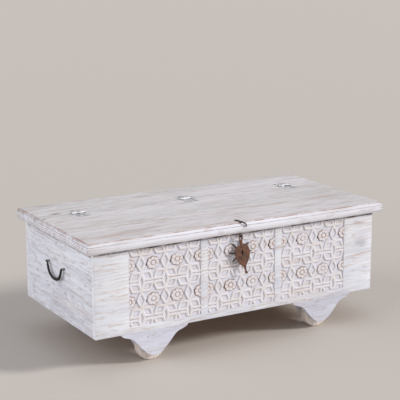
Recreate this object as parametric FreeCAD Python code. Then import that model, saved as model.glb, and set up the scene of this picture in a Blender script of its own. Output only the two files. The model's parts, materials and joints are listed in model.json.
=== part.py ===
import FreeCAD, Part
import math
import os

os.makedirs("parts", exist_ok=True)
V = FreeCAD.Vector

# A low storage chest of whitewashed wood that also serves as a table. A hinged lid lies in
# front of a fixed top strip, the front is carved in three fields, an iron hasp hangs from the
# lid, a bail handle hangs at each end, and four wooden wheels turn behind scrolled brackets.
# X runs along the chest, the front faces -Y, and Z is up from the floor. All lengths are in mm.

# Case
case_length = 1090.0
case_depth = 550.0
board_height = 284.0
board_thick = 20.0

# Top
top_thick = 36.0
strip_depth = 183.0
seam_gap = 1.0
lid_front_over = 20.5
lid_side_over = 30.0
strip_side_over = 28.0
strip_back_over = 8.0

# Moulded edge of the top: a worn shoulder, a quirk line and a bullnose
lid_shoulder_inset = 8.5
lid_shoulder_drop = 11.5
strip_shoulder_inset = 7.0
strip_shoulder_drop = 6.5
quirk_inset = 2.2
quirk_width = 1.6
nose_under = 5.0
roll_inset_share = 0.385
roll_height_share = 0.51

# Wheels and what carries them
wheel_radius = 50.0
wheel_width = 34.0
axle_drop = 62.0
axle_radius = 8.0
wheel_from_end = 214.0
rim_round = 6.0
hub_radius = 22.0
hub_proud = 3.5
hub_gap = 0.4
bracket_half = 123.0
bracket_drop = 88.0
bracket_hole_depth = 12.0
block_half = 55.0
block_thick = 28.0
block_drop = 84.0
block_foot_share = 0.5
block_shoulder_share = 0.45

# Floor and inner framing
cleat = 18.0
plank_thick = 12.0
plank_gap = 1.0
plank_count = 3
floor_batten_half = 60.0
post = 22.0
post_rim_gap = 3.0
lid_batten_width = 45.0
lid_batten_thick = 18.0
lid_batten_x = 300.0
lid_batten_clear = 8.0
lid_batten_seam_gap = 60.0

# Carved fields in the front board, cut down to their ground
field_count = 3
field_width = 264.5
field_stile = 26.5
field_foot = 22.0
field_head = 4.0
field_depth = 4.0

# Butt hinges, let into the top with the knuckle upwards
hinge_length = 50.0
hinge_reach = 48.0
hinge_from_end = 122.0
leaf_thick = 2.0
knuckle_radius = 4.5
knuckle_count = 5
knuckle_gap = 0.3
knuckle_clear = 0.6
hinge_pin_radius = 2.2
mortise_gap = 0.5
screw_shank_radius = 1.8
screw_head_radius = 3.8
screw_length = 15.0
screw_slot_width = 0.9
screw_slot_depth = 0.8

# Split pin through the lid, which carries the hasp
pin_x = -15.0
pin_back = 11.0
pin_width = 5.0
pin_leg = 2.4
pin_slit = 0.2
pin_hole_gap = 0.3
eye_bore = 3.2
eye_rest = 0.3
eye_drop = 10.0
prong_back = 33.0
prong_hook = 14.0
prong_hook_gap = 0.3
prong_side = 12.0

# Hasp, whose neck and plate are measured from the foot of its ring's hole
hasp_thick = 2.2
hasp_bar_radius = 2.0
hasp_length = 116.0
hasp_half = 29.0
hasp_lean_deg = 9.5
hasp_curve_start = 61.0
tail_out = 8.0
ring_hole = 7.4
ring_hole_length = 13.0
ring_wall = 3.2
ring_head = 2.6
neck_width = 9.0
neck_ridge = 1.2
slot_width = 7.0
slot_length = 20.0
slot_below = 48.0
knob_radius = 3.6
knob_width = 8.0

# Star plate and lock staple on the front board
star_disc = 13.0
star_reach = 44.0
star_thick = 1.5
star_rays = 8
ray_root = 4.4
ray_tip = 1.4
staple_wire = 1.75
staple_reach = 12.0
staple_height = 13.5
staple_depth = 15.0
staple_gap = 0.5

# Bail handles and their eyes
handle_rise = 178.0
handle_span = 108.0
handle_drop = 46.0
handle_bar = 3.6
handle_corner = 30.0
handle_off = 10.5
handle_set_back = 11.4
trunnion_radius = 2.3
trunnion_length = 11.0
handle_eye_width = 6.0
handle_eye_half = 4.6
handle_eye_gap = 0.6
handle_eye_round_share = 0.6
eye_shank_radius = 2.2
eye_shank_depth = 16.0

# Fits and cutting allowances
running_fit = 0.05
still_fit = 0.1
overrun = 5.0

# Places worked out from the sizes
prong_reach = lid_front_over + prong_hook_gap + pin_leg
hasp_off = staple_reach + staple_gap + hasp_thick / 2
front_reach = max(prong_reach, hasp_off + tail_out + knob_radius)
whole_depth = front_reach + case_depth + strip_back_over
y_front = front_reach - whole_depth / 2
y_back = y_front + case_depth
y_mid = (y_front + y_back) / 2
y_inner_front = y_front + board_thick
y_inner_back = y_back - board_thick
x_end = case_length / 2
x_inner = x_end - board_thick
z_case = wheel_radius + axle_drop
z_rim = z_case + board_height
z_top = z_rim + top_thick
z_plank = z_case + cleat
z_floor = z_plank + plank_thick
y_nose = y_front - lid_front_over
y_strip_back = y_back + strip_back_over
y_seam = y_strip_back - strip_depth
z_hinge = z_top - leaf_thick + knuckle_radius
wheel_x = x_end - wheel_from_end
hinge_x = x_end - hinge_from_end
wheel_space = wheel_width + 2 * (hub_proud + hub_gap)


# Small helpers

def box(x0, x1, y0, y1, z0, z1):
    return Part.makeBox(x1 - x0, y1 - y0, z1 - z0, V(x0, y0, z0))


def rod(radius, start, along):
    return Part.makeCylinder(radius, along.Length, start, along)


def plate(points, along):
    return Part.Face(Part.makePolygon(points + [points[0]])).extrude(along)


def arc(a, b, c):
    return Part.Arc(a, b, c).toShape()


def line(a, b):
    return Part.LineSegment(a, b).toShape()


def mirror_x(shape):
    return shape.mirror(V(0, 0, 0), V(1, 0, 0))


def mirror_y(shape, at_y=0):
    return shape.mirror(V(0, at_y, 0), V(0, 1, 0))


def save(name, *solids):
    whole = solids[0] if len(solids) == 1 else Part.makeCompound(list(solids))
    whole.exportStep("parts/" + name + ".step")


# Case boards

def field_starts():
    pitch = field_width + field_stile
    start = -(field_count * pitch - field_stile) / 2
    return [start + k * pitch for k in range(field_count)]


def front_board():
    board = box(-x_end, x_end, y_front, y_inner_front, z_case, z_rim)
    for x0 in field_starts():
        board = board.cut(box(x0, x0 + field_width, y_front - overrun, y_front + field_depth,
                              z_case + field_foot, z_rim - field_head))
    for z in staple_legs():
        board = board.cut(rod(staple_wire + still_fit, V(staple_x, y_front - overrun, z),
                              V(0, overrun + staple_depth, 0)))
    return board


def end_board():
    board = box(x_inner, x_end, y_inner_front, y_inner_back, z_case, z_rim)
    for y in handle_eye_places():
        board = board.cut(rod(eye_shank_radius + still_fit, V(x_end + overrun, y, z_handle),
                              V(-overrun - eye_shank_depth, 0, 0)))
    return board


# Floor: cleats round the foot of the walls, battens between them, and planks on top

def long_cleat():
    return box(-x_inner, x_inner, y_inner_front, y_inner_front + cleat, z_case, z_plank)


def end_cleat():
    return box(x_inner - cleat, x_inner, y_inner_front + cleat, y_inner_back - cleat, z_case, z_plank)


def floor_batten():
    return box(wheel_x - floor_batten_half, wheel_x + floor_batten_half,
               y_inner_front + cleat, y_inner_back - cleat, z_case, z_plank)


def floor_plank(k):
    pitch = (y_inner_back - y_inner_front + plank_gap) / plank_count
    y0 = y_inner_front + k * pitch
    return box(-x_inner, x_inner, y0, y0 + pitch - plank_gap, z_plank, z_floor)


def corner_post():
    return box(x_inner - post, x_inner, y_inner_front, y_inner_front + post,
               z_floor, z_rim - post_rim_gap)


# Moulded top: the cutter takes off all that lies outside the edge profile

def edge_cutter(length, shoulder_inset, shoulder_drop):
    # The profile lies in the XZ plane at the nose, x is the inset, and z counts from the top's underside
    shoulder = top_thick - shoulder_drop
    quirk = shoulder - quirk_width
    bulge = quirk / 2
    points = {
        "arris": V(shoulder_inset, 0, top_thick),
        "roll": V((shoulder_inset + quirk_inset) * roll_inset_share, 0,
                  (top_thick + shoulder) * roll_height_share),
        "shoulder": V(quirk_inset / 2, 0, shoulder),
        "quirk_top": V(quirk_inset, 0, shoulder - quirk_width / 4),
        "quirk_foot": V(quirk_inset, 0, quirk),
        "nose": V(0, 0, bulge),
        "under": V(nose_under, 0, 0),
    }
    above = V(shoulder_inset, 0, top_thick + overrun)
    outside_top = V(-overrun, 0, top_thick + overrun)
    outside_foot = V(-overrun, 0, -overrun)
    below = V(nose_under, 0, -overrun)
    edges = [
        arc(points["arris"], points["roll"], points["shoulder"]),
        line(points["shoulder"], points["quirk_top"]),
        line(points["quirk_top"], points["quirk_foot"]),
        arc(points["quirk_foot"], points["nose"], points["under"]),
        line(points["under"], below),
        line(below, outside_foot),
        line(outside_foot, outside_top),
        line(outside_top, above),
        line(above, points["arris"]),
    ]
    face = Part.Face(Part.Wire(edges))
    cutter = face.extrude(V(0, length + 2 * overrun, 0))
    cutter.translate(V(0, -length / 2 - overrun, z_rim))
    return cutter


def mould(slab, x_nose, y_nose_edge, y_far, shoulder_inset, shoulder_drop):
    # The long edge lies at y_nose_edge, and both ends at x_nose are moulded too
    depth = abs(y_far - y_nose_edge)
    side = edge_cutter(depth, shoulder_inset, shoulder_drop)
    side.translate(V(-x_nose, (y_nose_edge + y_far) / 2, 0))
    long_edge = edge_cutter(2 * x_nose, shoulder_inset, shoulder_drop)
    turn = 90 if y_nose_edge < y_far else -90
    long_edge.rotate(V(0, 0, 0), V(0, 0, 1), turn)
    long_edge.translate(V(0, y_nose_edge, 0))
    for cutter in (side, mirror_x(side), long_edge):
        slab = slab.cut(cutter)
    return slab


def hinge_places():
    return {"left": -hinge_x, "middle": 0.0, "right": hinge_x}


def hinge_mortises():
    cuts = []
    half = hinge_length / 2 + mortise_gap
    for x in hinge_places().values():
        cuts.append(box(x - half, x + half, y_seam - hinge_reach - mortise_gap,
                        y_seam + hinge_reach + mortise_gap, z_top - leaf_thick, z_top + overrun))
        cuts.append(rod(knuckle_radius + knuckle_clear, V(x - half, y_seam, z_hinge), V(2 * half, 0, 0)))
        for sx, sy in screw_places(x, 1) + screw_places(x, -1):
            cuts.append(rod(screw_shank_radius + still_fit, V(sx, sy, z_top),
                            V(0, 0, -screw_length - still_fit)))
    return cuts


def rear_strip():
    x_nose = x_end + strip_side_over
    slab = box(-x_nose, x_nose, y_seam + seam_gap / 2, y_strip_back, z_rim, z_top)
    slab = mould(slab, x_nose, y_strip_back, y_seam, strip_shoulder_inset, strip_shoulder_drop)
    for cut in hinge_mortises():
        slab = slab.cut(cut)
    return slab


def lid_panel():
    x_nose = x_end + lid_side_over
    slab = box(-x_nose, x_nose, y_nose, y_seam - seam_gap / 2, z_rim, z_top)
    slab = mould(slab, x_nose, y_nose, y_seam, lid_shoulder_inset, lid_shoulder_drop)
    for cut in hinge_mortises():
        slab = slab.cut(cut)
    slab = slab.cut(rod(pin_hole_radius, V(pin_x, y_pin, z_rim - overrun), V(0, 0, top_thick + 2 * overrun)))
    for x, y in batten_screw_places():
        slab = slab.cut(rod(screw_shank_radius + still_fit, V(x, y, z_rim),
                            V(0, 0, screw_length + still_fit)))
    return slab


# Butt hinges

screw_x_share = 0.34
screw_near_share = 0.45
screw_far_share = 0.76


def screw_places(x, side):
    near = y_seam + side * hinge_reach * screw_near_share
    far = y_seam + side * hinge_reach * screw_far_share
    aside = hinge_length * screw_x_share
    return [(x - aside, far), (x, near), (x + aside, far)]


def countersunk(x, y, extra):
    head = Part.makeCone(screw_head_radius + extra, screw_shank_radius + extra, leaf_thick,
                         V(x, y, z_top), V(0, 0, -1))
    shank = rod(screw_shank_radius + extra, V(x, y, z_top - leaf_thick), V(0, 0, leaf_thick - screw_length))
    return head.fuse(shank)


def hinge_screw(x, y):
    slot = box(x - screw_head_radius, x + screw_head_radius, y - screw_slot_width / 2,
               y + screw_slot_width / 2, z_top - screw_slot_depth, z_top + overrun)
    return countersunk(x, y, 0).cut(slot)


def hinge_leaf(x, side):
    # side is 1 for the leaf on the strip, which has the outer knuckles, and -1 for the lid's leaf
    half = hinge_length / 2
    near = y_seam + side * (knuckle_radius + knuckle_clear)
    far = y_seam + side * hinge_reach
    leaf = box(x - half, x + half, min(near, far), max(near, far), z_top - leaf_thick, z_top)
    pitch = (hinge_length + knuckle_gap) / knuckle_count
    for k in range(knuckle_count):
        if (k % 2 == 0) != (side == 1):
            continue
        x0 = x - half + k * pitch
        x1 = x0 + pitch - knuckle_gap
        leaf = leaf.fuse(box(x0, x1, min(y_seam, near), max(y_seam, near), z_top - leaf_thick, z_top))
        leaf = leaf.fuse(rod(knuckle_radius, V(x0, y_seam, z_hinge), V(x1 - x0, 0, 0)))
    leaf = leaf.cut(rod(hinge_pin_radius + running_fit, V(x - half - overrun, y_seam, z_hinge),
                        V(hinge_length + 2 * overrun, 0, 0)))
    for sx, sy in screw_places(x, side):
        leaf = leaf.cut(countersunk(sx, sy, still_fit))
    return leaf.removeSplitter()


def hinge_pin(x):
    return rod(hinge_pin_radius, V(x - hinge_length / 2, y_seam, z_hinge), V(hinge_length, 0, 0))


# Lid battens, which keep the panel flat, and their screws from below

batten_screw_shares = (0.12, 0.5, 0.88)
y_batten_front = y_inner_front + lid_batten_clear
y_batten_back = y_seam - lid_batten_seam_gap
z_batten = z_rim - lid_batten_thick


def batten_screw_places():
    reach = y_batten_back - y_batten_front
    return [(x, y_batten_front + share * reach) for x in (-lid_batten_x, lid_batten_x)
            for share in batten_screw_shares]


def batten_screw(x, y, extra):
    head = Part.makeCone(screw_head_radius + extra, screw_shank_radius + extra, leaf_thick,
                         V(x, y, z_batten), V(0, 0, 1))
    shank = rod(screw_shank_radius + extra, V(x, y, z_batten + leaf_thick),
                V(0, 0, lid_batten_thick - leaf_thick + screw_length))
    return head.fuse(shank)


def lid_batten():
    half = lid_batten_width / 2
    batten = box(lid_batten_x - half, lid_batten_x + half, y_batten_front, y_batten_back, z_batten, z_rim)
    for x, y in batten_screw_places():
        if x > 0:
            batten = batten.cut(batten_screw(x, y, still_fit))
    return batten


# Split pin: an eye below the lid, two legs through it, one bent back and one hooked over the nose

y_pin = y_front - pin_back
y_hasp = y_front - hasp_off
pin_half = pin_leg + pin_slit / 2
pin_hole_radius = math.hypot(pin_half, pin_width / 2) + pin_hole_gap
z_pivot = z_rim - eye_drop
z_eye = z_pivot + eye_bore - hasp_bar_radius - eye_rest
prong_slant_share = 0.55


def split_pin():
    across = V(pin_width, 0, 0)
    x0 = pin_x - pin_width / 2
    eye_radius = eye_bore + pin_leg
    eye = rod(eye_radius, V(x0, y_hasp, z_eye), across)
    legs = box(x0, x0 + pin_width, y_pin - pin_half, y_pin + pin_half, z_eye, z_top + pin_leg)
    bore = rod(eye_bore, V(x0 - overrun, y_hasp, z_eye), V(pin_width + 2 * overrun, 0, 0))
    whole = eye.fuse(legs).cut(bore)
    back = box(x0, x0 + pin_width, y_pin + pin_slit / 2, y_pin + prong_back, z_top, z_top + pin_leg)
    # The front prong slants to the right as it comes forward, and its tip hooks down over the nose
    y_out = y_nose - prong_hook_gap
    slant = prong_side * prong_slant_share
    front = plate([
        V(x0, y_pin, z_top),
        V(x0 + pin_width, y_pin, z_top),
        V(x0 + pin_width + slant, y_out - pin_leg, z_top),
        V(x0 + slant, y_out - pin_leg, z_top),
    ], V(0, 0, pin_leg))
    hook = plate([
        V(x0 + slant, y_out, z_top + pin_leg),
        V(x0 + slant + pin_width, y_out, z_top + pin_leg),
        V(x0 + prong_side + pin_width, y_out, z_top - prong_hook),
        V(x0 + prong_side, y_out, z_top - prong_hook),
    ], V(0, -pin_leg, 0))
    whole = whole.fuse([back, front, hook])
    slit = box(x0 - overrun, x0 + pin_width + overrun, y_pin - pin_slit / 2, y_pin + pin_slit / 2,
               z_eye + eye_radius, z_top + pin_leg + overrun)
    return whole.cut(slit).removeSplitter()


# Hasp: a ring round the eye, a ridged neck, and a drop-shaped plate with a slot and a curled tail

# Half widths of the plate as shares of its greatest, and places down it as shares of the hasp's length
hasp_outline_shares = [
    (0.155, 0.179), (0.48, 0.158), (0.88, 0.238), (1.0, 0.377), (0.92, 0.539),
    (0.54, 0.716), (0.235, 0.811), (0.125, 0.90), (0.12, 0.983),
]
ridge_end_share = 0.26
neck_end_share = 0.35
curve_drop = hasp_length + knob_radius - hasp_curve_start
curve_radius = (curve_drop * curve_drop + tail_out * tail_out) / (2 * tail_out)
z_ring_foot = z_pivot - ring_hole_length
hasp_lean = math.radians(hasp_lean_deg)
staple_x = pin_x + slot_below * math.sin(hasp_lean)
staple_z = z_ring_foot - slot_below * math.cos(hasp_lean)


def hasp_slab():
    # The plate's thickness seen from the side: straight down past the slot, then curving forwards
    y_in = y_hasp + hasp_thick / 2
    y_out = y_hasp - hasp_thick / 2
    x0 = pin_x - 2 * hasp_half
    z_head = z_pivot + 2 * ring_head
    z_bend = z_ring_foot - hasp_curve_start
    swing = math.asin(curve_drop / curve_radius)

    def bent(y_face, angle):
        radius = curve_radius + y_face - y_hasp
        return V(x0, y_hasp - curve_radius + radius * math.cos(angle), z_bend - radius * math.sin(angle))

    wire = Part.Wire([
        line(V(x0, y_in, z_head), bent(y_in, 0)),
        arc(bent(y_in, 0), bent(y_in, swing / 2), bent(y_in, swing)),
        line(bent(y_in, swing), bent(y_out, swing)),
        arc(bent(y_out, swing), bent(y_out, swing / 2), bent(y_out, 0)),
        line(bent(y_out, 0), V(x0, y_out, z_head)),
        line(V(x0, y_out, z_head), V(x0, y_in, z_head)),
    ])
    return Part.Face(wire).extrude(V(4 * hasp_half, 0, 0))


def drop_outline():
    right = [V(pin_x + across * hasp_half, 0, z_ring_foot - down * hasp_length)
             for across, down in hasp_outline_shares]
    left = [V(2 * pin_x - point.x, 0, point.z) for point in right]
    side_right = Part.BSplineCurve()
    side_right.interpolate(right)
    side_left = Part.BSplineCurve()
    side_left.interpolate(left)
    return Part.Face(Part.Wire([
        side_right.toShape(),
        line(right[-1], left[-1]),
        side_left.toShape(),
        line(left[0], right[0]),
    ]))


def ring_outline(half, z_foot, z_head):
    # Straight sides with a round foot
    return Part.Face(Part.Wire([
        line(V(pin_x + half, 0, z_foot + half), V(pin_x + half, 0, z_head)),
        line(V(pin_x + half, 0, z_head), V(pin_x - half, 0, z_head)),
        line(V(pin_x - half, 0, z_head), V(pin_x - half, 0, z_foot + half)),
        arc(V(pin_x - half, 0, z_foot + half), V(pin_x, 0, z_foot), V(pin_x + half, 0, z_foot + half)),
    ]))


def slot_outline(half, z_foot, z_head):
    return Part.Face(Part.Wire([
        line(V(pin_x + half, 0, z_foot + half), V(pin_x + half, 0, z_head - half)),
        arc(V(pin_x + half, 0, z_head - half), V(pin_x, 0, z_head), V(pin_x - half, 0, z_head - half)),
        line(V(pin_x - half, 0, z_head - half), V(pin_x - half, 0, z_foot + half)),
        arc(V(pin_x - half, 0, z_foot + half), V(pin_x, 0, z_foot), V(pin_x + half, 0, z_foot + half)),
    ]))


def thickened(face):
    # Far thicker than the plate, whose slab then cuts it
    reach = 2 * hasp_half
    solid = face.extrude(V(0, 2 * reach, 0))
    solid.translate(V(0, y_hasp - reach, 0))
    return solid


def leaned(shape):
    shape.rotate(V(pin_x, 0, z_ring_foot), V(0, 1, 0), -hasp_lean_deg)
    return shape


def hasp():
    ring = thickened(ring_outline(ring_hole / 2 + ring_wall, z_ring_foot - ring_wall, z_pivot + ring_head))
    bore = thickened(ring_outline(ring_hole / 2, z_ring_foot, z_pivot + 2 * ring_head))
    neck_half = neck_width / 2
    neck_foot = z_ring_foot - neck_end_share * hasp_length
    neck = thickened(Part.Face(Part.makePolygon([
        V(pin_x - neck_half, 0, z_ring_foot - ring_wall / 2),
        V(pin_x + neck_half, 0, z_ring_foot - ring_wall / 2),
        V(pin_x + neck_half, 0, neck_foot),
        V(pin_x - neck_half, 0, neck_foot),
        V(pin_x - neck_half, 0, z_ring_foot - ring_wall / 2),
    ])))
    z_slot = z_ring_foot - slot_below
    slot = thickened(slot_outline(slot_width / 2, z_slot - slot_length / 2, z_slot + slot_length / 2))
    drop = leaned(thickened(drop_outline()).fuse(neck).cut(slot))
    body = ring.fuse(drop).cut(bore).common(hasp_slab())
    bar = rod(hasp_bar_radius, V(pin_x - ring_hole / 2 - ring_wall / 2, y_hasp, z_pivot),
              V(ring_hole + ring_wall, 0, 0))
    ridge = leaned(box(pin_x - neck_ridge, pin_x + neck_ridge, y_hasp - hasp_thick / 2 - neck_ridge, y_hasp,
                       z_ring_foot - ridge_end_share * hasp_length, z_ring_foot - ring_wall / 2))
    knob = leaned(rod(knob_radius, V(pin_x - knob_width / 2, y_hasp - tail_out, z_ring_foot - hasp_length),
                      V(knob_width, 0, 0)))
    return body.fuse([bar, ridge, knob]).removeSplitter()


# Star plate and lock staple

def staple_legs():
    return [staple_z - staple_height / 2 + staple_wire, staple_z + staple_height / 2 - staple_wire]


def star_plate():
    disc = rod(star_disc, V(staple_x, y_front, staple_z), V(0, -star_thick, 0))
    for k in range(star_rays):
        ray = plate([
            V(staple_x - ray_root / 2, y_front, staple_z),
            V(staple_x + ray_root / 2, y_front, staple_z),
            V(staple_x + ray_tip / 2, y_front, staple_z + star_reach),
            V(staple_x - ray_tip / 2, y_front, staple_z + star_reach),
        ], V(0, -star_thick, 0))
        ray.rotate(V(staple_x, y_front, staple_z), V(0, 1, 0), k * 360.0 / star_rays)
        disc = disc.fuse(ray)
    for z in staple_legs():
        disc = disc.cut(rod(staple_wire + still_fit, V(staple_x, y_front - overrun, z), V(0, 2 * overrun, 0)))
    return disc.removeSplitter()


def lock_staple():
    low, high = staple_legs()
    bend = (high - low) / 2
    y_bend = y_front - staple_reach + staple_wire + bend
    y_deep = y_front + staple_depth - still_fit
    path = Part.Wire([
        line(V(staple_x, y_deep, low), V(staple_x, y_bend, low)),
        arc(V(staple_x, y_bend, low), V(staple_x, y_bend - bend, staple_z), V(staple_x, y_bend, high)),
        line(V(staple_x, y_bend, high), V(staple_x, y_deep, high)),
    ])
    section = Part.Wire(Part.makeCircle(staple_wire, V(staple_x, y_deep, low), V(0, 1, 0)))
    return path.makePipeShell([section], True, True)


# Bail handle at the right end, which is mirrored for the left one

z_handle = z_case + handle_rise
x_handle = x_end + handle_off
y_handle = y_mid + handle_set_back
handle_half = handle_span / 2


def handle_eye_places():
    out = handle_half + handle_bar + handle_eye_gap + handle_eye_width / 2
    return [y_handle - out, y_handle + out]


def bail():
    # Two side arcs run into one long arc, as on a basket's handle
    side = handle_half - handle_corner
    rest = handle_drop - handle_corner
    lift = (side * side - rest * rest) / (2 * rest)
    radius = handle_drop + lift
    turn = math.atan2(lift, side)

    def on_corner(sign, angle):
        return V(x_handle, y_handle + sign * (side + handle_corner * math.cos(angle)),
                 z_handle - handle_corner * math.sin(angle))

    path = Part.Wire([
        arc(on_corner(-1, 0), on_corner(-1, turn / 2), on_corner(-1, turn)),
        arc(on_corner(-1, turn), V(x_handle, y_handle, z_handle + lift - radius), on_corner(1, turn)),
        arc(on_corner(1, turn), on_corner(1, turn / 2), on_corner(1, 0)),
    ])
    section = Part.Wire(Part.makeCircle(handle_bar, on_corner(-1, 0), V(0, 0, 1)))
    whole = path.makePipeShell([section], True, True)
    for sign in (-1, 1):
        elbow = V(x_handle, y_handle + sign * handle_half, z_handle)
        whole = whole.fuse(Part.makeSphere(handle_bar, elbow))
        whole = whole.fuse(rod(trunnion_radius, elbow, V(0, sign * trunnion_length, 0)))
    return whole.removeSplitter()


def handle_eye(y):
    half = handle_eye_width / 2
    block = box(x_end, x_handle + handle_eye_half, y - half, y + half,
                z_handle - handle_eye_half, z_handle + handle_eye_half)
    rounded = [edge for edge in block.Edges if edge.BoundBox.YLength > half
               and edge.BoundBox.XMin > x_handle]
    block = block.makeFillet(handle_eye_half * handle_eye_round_share, rounded)
    shank = rod(eye_shank_radius, V(x_end, y, z_handle), V(still_fit - eye_shank_depth, 0, 0))
    hole = rod(trunnion_radius + running_fit, V(x_handle, y - handle_eye_width, z_handle),
               V(0, 2 * handle_eye_width, 0))
    return block.fuse(shank).cut(hole)


# Wheel brackets, wheels, inner blocks and axles, made at the front right

# Half outline of a bracket, from its outer corner down to the middle of the lobe:
# shares of the half width and of the drop
bracket_shares = [(1.0, 0.0), (0.972, 0.065), (0.90, 0.125), (0.81, 0.17), (0.705, 0.222), (0.62, 0.30),
                  (0.535, 0.43), (0.43, 0.60), (0.33, 0.752), (0.228, 0.885), (0.12, 0.968), (0.0, 1.0)]
z_axle = wheel_radius
y_wheel = y_inner_front + hub_gap + hub_proud
y_block = y_inner_front + wheel_space


def bracket():
    right = [V(wheel_x + a * bracket_half, y_front, z_case - b * bracket_drop) for a, b in bracket_shares]
    left = [V(2 * wheel_x - point.x, y_front, point.z) for point in reversed(right[:-1])]
    scroll = Part.BSplineCurve()
    scroll.interpolate(right + left)
    face = Part.Face(Part.Wire([scroll.toShape(), line(left[-1], right[0])]))
    board = face.extrude(V(0, board_thick, 0))
    hole = rod(axle_radius + still_fit, V(wheel_x, y_inner_front + overrun, z_axle),
               V(0, -overrun - bracket_hole_depth, 0))
    return board.cut(hole)


def inner_block():
    foot = block_half * block_foot_share
    shoulder = block_drop * block_shoulder_share
    block = plate([
        V(wheel_x - block_half, y_block, z_case),
        V(wheel_x + block_half, y_block, z_case),
        V(wheel_x + block_half, y_block, z_case - shoulder),
        V(wheel_x + foot, y_block, z_case - block_drop),
        V(wheel_x - foot, y_block, z_case - block_drop),
        V(wheel_x - block_half, y_block, z_case - shoulder),
    ], V(0, block_thick, 0))
    return block.cut(rod(axle_radius + still_fit, V(wheel_x, y_block - overrun, z_axle),
                         V(0, block_thick + 2 * overrun, 0)))


def axle():
    start = y_inner_front - bracket_hole_depth + still_fit
    return rod(axle_radius, V(wheel_x, start, z_axle), V(0, y_block + block_thick - start, 0))


def wheel():
    # Half section in the YZ plane above the axle, turned about Y
    bore = axle_radius + running_fit
    rim = wheel_radius - rim_round
    y0 = y_wheel
    y1 = y_wheel + wheel_width
    round_off = rim_round * (1 - math.cos(math.pi / 4))

    def at(y, radius):
        return V(wheel_x, y, z_axle + radius)

    wire = Part.Wire([
        line(at(y0 - hub_proud, bore), at(y0 - hub_proud, hub_radius - hub_proud)),
        line(at(y0 - hub_proud, hub_radius - hub_proud), at(y0, hub_radius)),
        line(at(y0, hub_radius), at(y0, rim)),
        arc(at(y0, rim), at(y0 + round_off, wheel_radius - round_off), at(y0 + rim_round, wheel_radius)),
        line(at(y0 + rim_round, wheel_radius), at(y1 - rim_round, wheel_radius)),
        arc(at(y1 - rim_round, wheel_radius), at(y1 - round_off, wheel_radius - round_off), at(y1, rim)),
        line(at(y1, rim), at(y1, hub_radius)),
        line(at(y1, hub_radius), at(y1 + hub_proud, hub_radius - hub_proud)),
        line(at(y1 + hub_proud, hub_radius - hub_proud), at(y1 + hub_proud, bore)),
        line(at(y1 + hub_proud, bore), at(y0 - hub_proud, bore)),
    ])
    return Part.Face(wire).revolve(V(wheel_x, 0, z_axle), V(0, 1, 0), 360)


# Writing the pieces

save("front_board", front_board())
save("back_board", box(-x_end, x_end, y_inner_back, y_back, z_case, z_rim))
save("right_end_board", end_board())
save("left_end_board", mirror_x(end_board()))
save("front_cleat", long_cleat())
save("back_cleat", mirror_y(long_cleat(), y_mid))
save("right_cleat", end_cleat())
save("left_cleat", mirror_x(end_cleat()))
save("right_floor_batten", floor_batten())
save("left_floor_batten", mirror_x(floor_batten()))
for k, place in enumerate(("front", "middle", "back")):
    save(place + "_floor_plank", floor_plank(k))

corner_pieces = {
    "corner_post": corner_post(),
    "wheel_bracket": bracket(),
    "inner_wheel_block": inner_block(),
    "axle_pin": axle(),
    "wheel": wheel(),
}
for name, piece in corner_pieces.items():
    save("front_right_" + name, piece)
    save("front_left_" + name, mirror_x(piece))
    save("back_right_" + name, mirror_y(piece, y_mid))
    save("back_left_" + name, mirror_x(mirror_y(piece, y_mid)))

save("rear_top_strip", rear_strip())
save("lid_panel", lid_panel())
save("right_lid_batten", lid_batten())
save("left_lid_batten", mirror_x(lid_batten()))
save("lid_batten_screws", *[batten_screw(x, y, 0) for x, y in batten_screw_places()])

for place, x in hinge_places().items():
    save(place + "_hinge_strip_leaf", hinge_leaf(x, 1))
    save(place + "_hinge_lid_leaf", hinge_leaf(x, -1))
    save(place + "_hinge_pin", hinge_pin(x))
for owner, side in (("strip", 1), ("lid", -1)):
    places = [spot for x in hinge_places().values() for spot in screw_places(x, side)]
    save(owner + "_hinge_screws", *[hinge_screw(x, y) for x, y in places])

save("hasp_split_pin", split_pin())
save("hasp", hasp())
save("star_plate", star_plate())
save("lock_staple", lock_staple())

save("right_bail_handle", bail())
save("left_bail_handle", mirror_x(bail()))
eyes = [handle_eye(y) for y in handle_eye_places()]
save("right_handle_eyes", *eyes)
save("left_handle_eyes", *[mirror_x(eye) for eye in eyes])
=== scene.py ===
import json
import math
import random

import bmesh
import bpy
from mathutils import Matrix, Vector


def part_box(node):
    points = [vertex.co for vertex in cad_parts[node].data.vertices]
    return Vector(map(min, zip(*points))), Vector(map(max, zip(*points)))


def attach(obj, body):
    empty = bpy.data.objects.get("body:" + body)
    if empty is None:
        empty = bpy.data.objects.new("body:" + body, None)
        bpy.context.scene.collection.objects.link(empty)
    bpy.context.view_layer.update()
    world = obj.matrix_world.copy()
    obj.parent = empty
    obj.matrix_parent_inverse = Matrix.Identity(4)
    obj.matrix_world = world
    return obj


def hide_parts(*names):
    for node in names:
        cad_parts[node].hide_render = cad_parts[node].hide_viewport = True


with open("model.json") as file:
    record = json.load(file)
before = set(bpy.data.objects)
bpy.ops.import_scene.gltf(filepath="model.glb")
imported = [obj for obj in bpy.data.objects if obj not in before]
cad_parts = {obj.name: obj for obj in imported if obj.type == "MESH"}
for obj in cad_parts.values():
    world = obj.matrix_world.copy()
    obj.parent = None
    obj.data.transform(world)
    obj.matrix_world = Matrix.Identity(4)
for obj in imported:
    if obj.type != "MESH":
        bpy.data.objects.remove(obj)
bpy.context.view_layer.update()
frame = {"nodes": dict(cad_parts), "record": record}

mm = 0.001
hair = 0.01 * mm  # points closer than this are the same point
straight = math.radians(90)
slotOf = {part["node"]: part["material_slot"] for part in frame["record"]["subparts"]}


# Selecting, cutting and finishing pieces

def pickOnly(*pieces):
    bpy.ops.object.select_all(action="DESELECT")
    for piece in pieces:
        piece.select_set(True)
    bpy.context.view_layer.objects.active = pieces[0]


def selectAll():
    bpy.ops.mesh.select_all(action="SELECT")


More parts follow.
